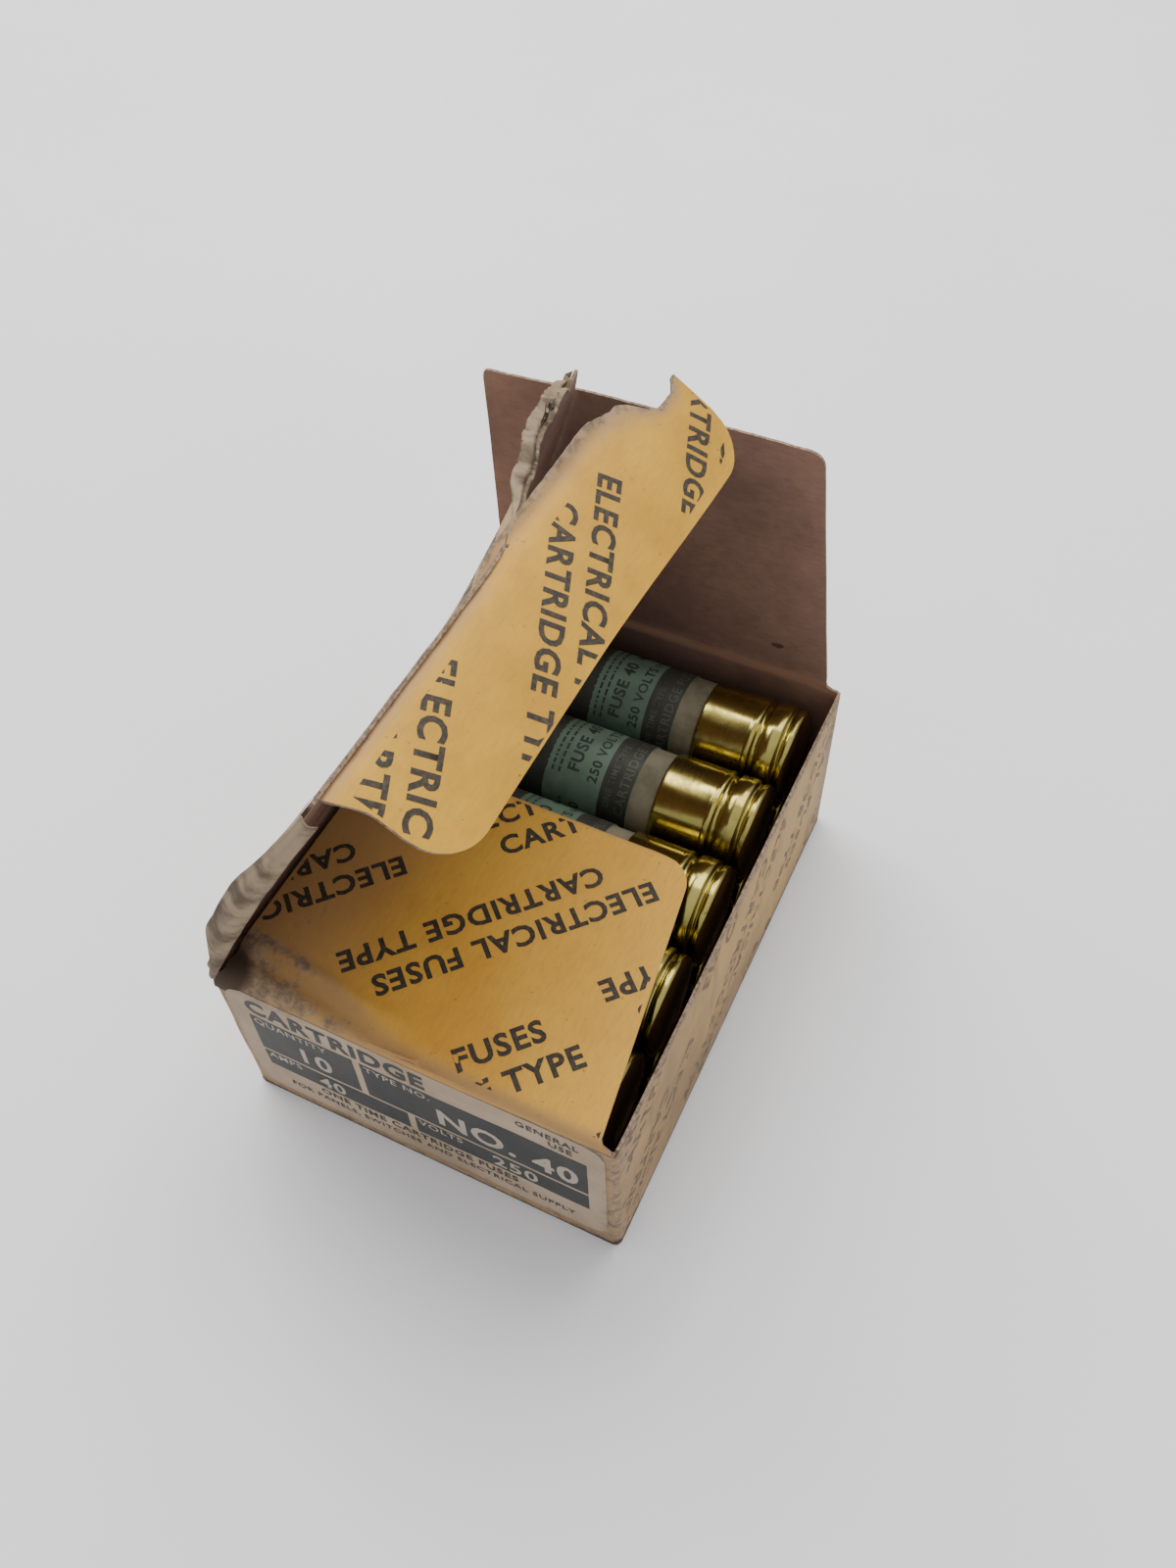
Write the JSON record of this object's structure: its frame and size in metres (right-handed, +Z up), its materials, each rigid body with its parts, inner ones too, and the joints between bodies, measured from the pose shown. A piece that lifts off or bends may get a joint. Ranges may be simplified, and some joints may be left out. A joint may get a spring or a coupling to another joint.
{
  "type": "opened carton of cartridge fuses",
  "caption": "Worn folding carton with a torn hinged lid, tuck flap and dust flaps, open to show rows of brass-ended cartridge fuses packed inside",
  "frame": {"origin": "centre of the carton's flat base, on the surface it stands on", "axes": "+Z up; +X across the carton from the lid's crease to the side the tuck flap closes against; -Y to the labelled end"},
  "size_m": [0.0819, 0.1115, 0.1139],
  "materials": {
    "printed_board": "thin chipboard, printed yellow outside with dark repeat wording, bare brown inside, worn at the creases",
    "label_paper": "off-white paper label with dark blocks, matt and soiled",
    "ferrule_brass": "polished brass with tarnish and fine turning marks",
    "fibre_tube": "grey vulcanised fibre tube, matt",
    "green_wrap": "grey-green paper wrap with dark print, slightly coated",
    "zinc_element": "punched zinc strip, dull",
    "sand_filler": "packed quartz sand"
  },
  "bodies": {
    "carton": {"front_end_panel": "printed_board", "rear_end_panel": "printed_board", "left_side_panel": "printed_board", "right_side_panel": "printed_board", "glue_flap": "printed_board", "bottom_inner_flap": "printed_board", "bottom_outer_flap": "printed_board", "bottom_front_minor_flap": "printed_board", "bottom_rear_minor_flap": "printed_board", "front_label": "label_paper"},
    "lid": {"lid_panel": "printed_board"},
    "tuck": {"tuck_flap": "printed_board"},
    "front_dust_flap": {"front_dust_flap": "printed_board"},
    "rear_dust_flap": {"rear_dust_flap": "printed_board"},
    "upper_fuse_1": {"upper_fuse_1_rejection_ferrule": "ferrule_brass", "upper_fuse_1_plain_ferrule": "ferrule_brass", "upper_fuse_1_fibre_tube": "fibre_tube", "upper_fuse_1_paper_wrap": "green_wrap", "upper_fuse_1_element": "zinc_element", "upper_fuse_1_sand_filler": "sand_filler"},
    "upper_fuse_2": {"upper_fuse_2_rejection_ferrule": "ferrule_brass", "upper_fuse_2_plain_ferrule": "ferrule_brass", "upper_fuse_2_fibre_tube": "fibre_tube", "upper_fuse_2_paper_wrap": "green_wrap", "upper_fuse_2_element": "zinc_element", "upper_fuse_2_sand_filler": "sand_filler"},
    "upper_fuse_3": {"upper_fuse_3_rejection_ferrule": "ferrule_brass", "upper_fuse_3_plain_ferrule": "ferrule_brass", "upper_fuse_3_fibre_tube": "fibre_tube", "upper_fuse_3_paper_wrap": "green_wrap", "upper_fuse_3_element": "zinc_element", "upper_fuse_3_sand_filler": "sand_filler"},
    "upper_fuse_4": {"upper_fuse_4_rejection_ferrule": "ferrule_brass", "upper_fuse_4_plain_ferrule": "ferrule_brass", "upper_fuse_4_fibre_tube": "fibre_tube", "upper_fuse_4_paper_wrap": "green_wrap", "upper_fuse_4_element": "zinc_element", "upper_fuse_4_sand_filler": "sand_filler"},
    "upper_fuse_5": {"upper_fuse_5_rejection_ferrule": "ferrule_brass", "upper_fuse_5_plain_ferrule": "ferrule_brass", "upper_fuse_5_fibre_tube": "fibre_tube", "upper_fuse_5_paper_wrap": "green_wrap", "upper_fuse_5_element": "zinc_element", "upper_fuse_5_sand_filler": "sand_filler"},
    "lower_fuse_1": {"lower_fuse_1_rejection_ferrule": "ferrule_brass", "lower_fuse_1_plain_ferrule": "ferrule_brass", "lower_fuse_1_filled_tube": "fibre_tube"},
    "lower_fuse_2": {"lower_fuse_2_rejection_ferrule": "ferrule_brass", "lower_fuse_2_plain_ferrule": "ferrule_brass", "lower_fuse_2_filled_tube": "fibre_tube"},
    "lower_fuse_3": {"lower_fuse_3_rejection_ferrule": "ferrule_brass", "lower_fuse_3_plain_ferrule": "ferrule_brass", "lower_fuse_3_filled_tube": "fibre_tube"},
    "lower_fuse_4": {"lower_fuse_4_rejection_ferrule": "ferrule_brass", "lower_fuse_4_plain_ferrule": "ferrule_brass", "lower_fuse_4_filled_tube": "fibre_tube"},
    "lower_fuse_5": {"lower_fuse_5_rejection_ferrule": "ferrule_brass", "lower_fuse_5_plain_ferrule": "ferrule_brass", "lower_fuse_5_filled_tube": "fibre_tube"}
  },
  "joints": [
    {"name": "lid_crease", "type": "hinge", "parent": "carton", "child": "lid", "pos_m": [-0.0407, 0, 0.044], "axis": [0, -1, 0], "range_deg": [-60.5, 119]},
    {"name": "tuck_crease", "type": "hinge", "parent": "lid", "child": "tuck", "pos_m": [-0.00221, 0, 0.11345], "axis": [0, 1, 0], "range_deg": [-94.5, 75]},
    {"name": "front_flap_crease", "type": "hinge", "parent": "carton", "child": "front_dust_flap", "pos_m": [0, -0.0557, 0.0433], "axis": [1, 0, 0], "range_deg": [0, 3]},
    {"name": "rear_flap_crease", "type": "hinge", "parent": "carton", "child": "rear_dust_flap", "pos_m": [0, 0.0557, 0.0433], "axis": [-1, 0, 0], "range_deg": [0, 170]},
    {"name": "upper_fuse_1_roll", "type": "hinge", "parent": "carton", "child": "upper_fuse_1", "pos_m": [-0.0019, 0.0434, 0.03296], "axis": [1, 0, 0], "continuous": true},
    {"name": "upper_fuse_2_roll", "type": "hinge", "parent": "carton", "child": "upper_fuse_2", "pos_m": [-0.0019, 0.0217, 0.03296], "axis": [1, 0, 0], "continuous": true},
    {"name": "upper_fuse_3_roll", "type": "hinge", "parent": "carton", "child": "upper_fuse_3", "pos_m": [-0.0019, 0, 0.03296], "axis": [1, 0, 0], "continuous": true},
    {"name": "upper_fuse_4_roll", "type": "hinge", "parent": "carton", "child": "upper_fuse_4", "pos_m": [-0.0019, -0.0217, 0.03296], "axis": [1, 0, 0], "continuous": true},
    {"name": "upper_fuse_5_roll", "type": "hinge", "parent": "carton", "child": "upper_fuse_5", "pos_m": [-0.0019, -0.0434, 0.03296], "axis": [1, 0, 0], "continuous": true},
    {"name": "lower_fuse_1_roll", "type": "hinge", "parent": "carton", "child": "lower_fuse_1", "pos_m": [-0.0019, 0.0434, 0.01222], "axis": [1, 0, 0], "continuous": true},
    {"name": "lower_fuse_2_roll", "type": "hinge", "parent": "carton", "child": "lower_fuse_2", "pos_m": [-0.0019, 0.0217, 0.01222], "axis": [1, 0, 0], "continuous": true},
    {"name": "lower_fuse_3_roll", "type": "hinge", "parent": "carton", "child": "lower_fuse_3", "pos_m": [-0.0019, 0, 0.01222], "axis": [1, 0, 0], "continuous": true},
    {"name": "lower_fuse_4_roll", "type": "hinge", "parent": "carton", "child": "lower_fuse_4", "pos_m": [-0.0019, -0.0217, 0.01222], "axis": [1, 0, 0], "continuous": true},
    {"name": "lower_fuse_5_roll", "type": "hinge", "parent": "carton", "child": "lower_fuse_5", "pos_m": [-0.0019, -0.0434, 0.01222], "axis": [1, 0, 0], "continuous": true}
  ]
}
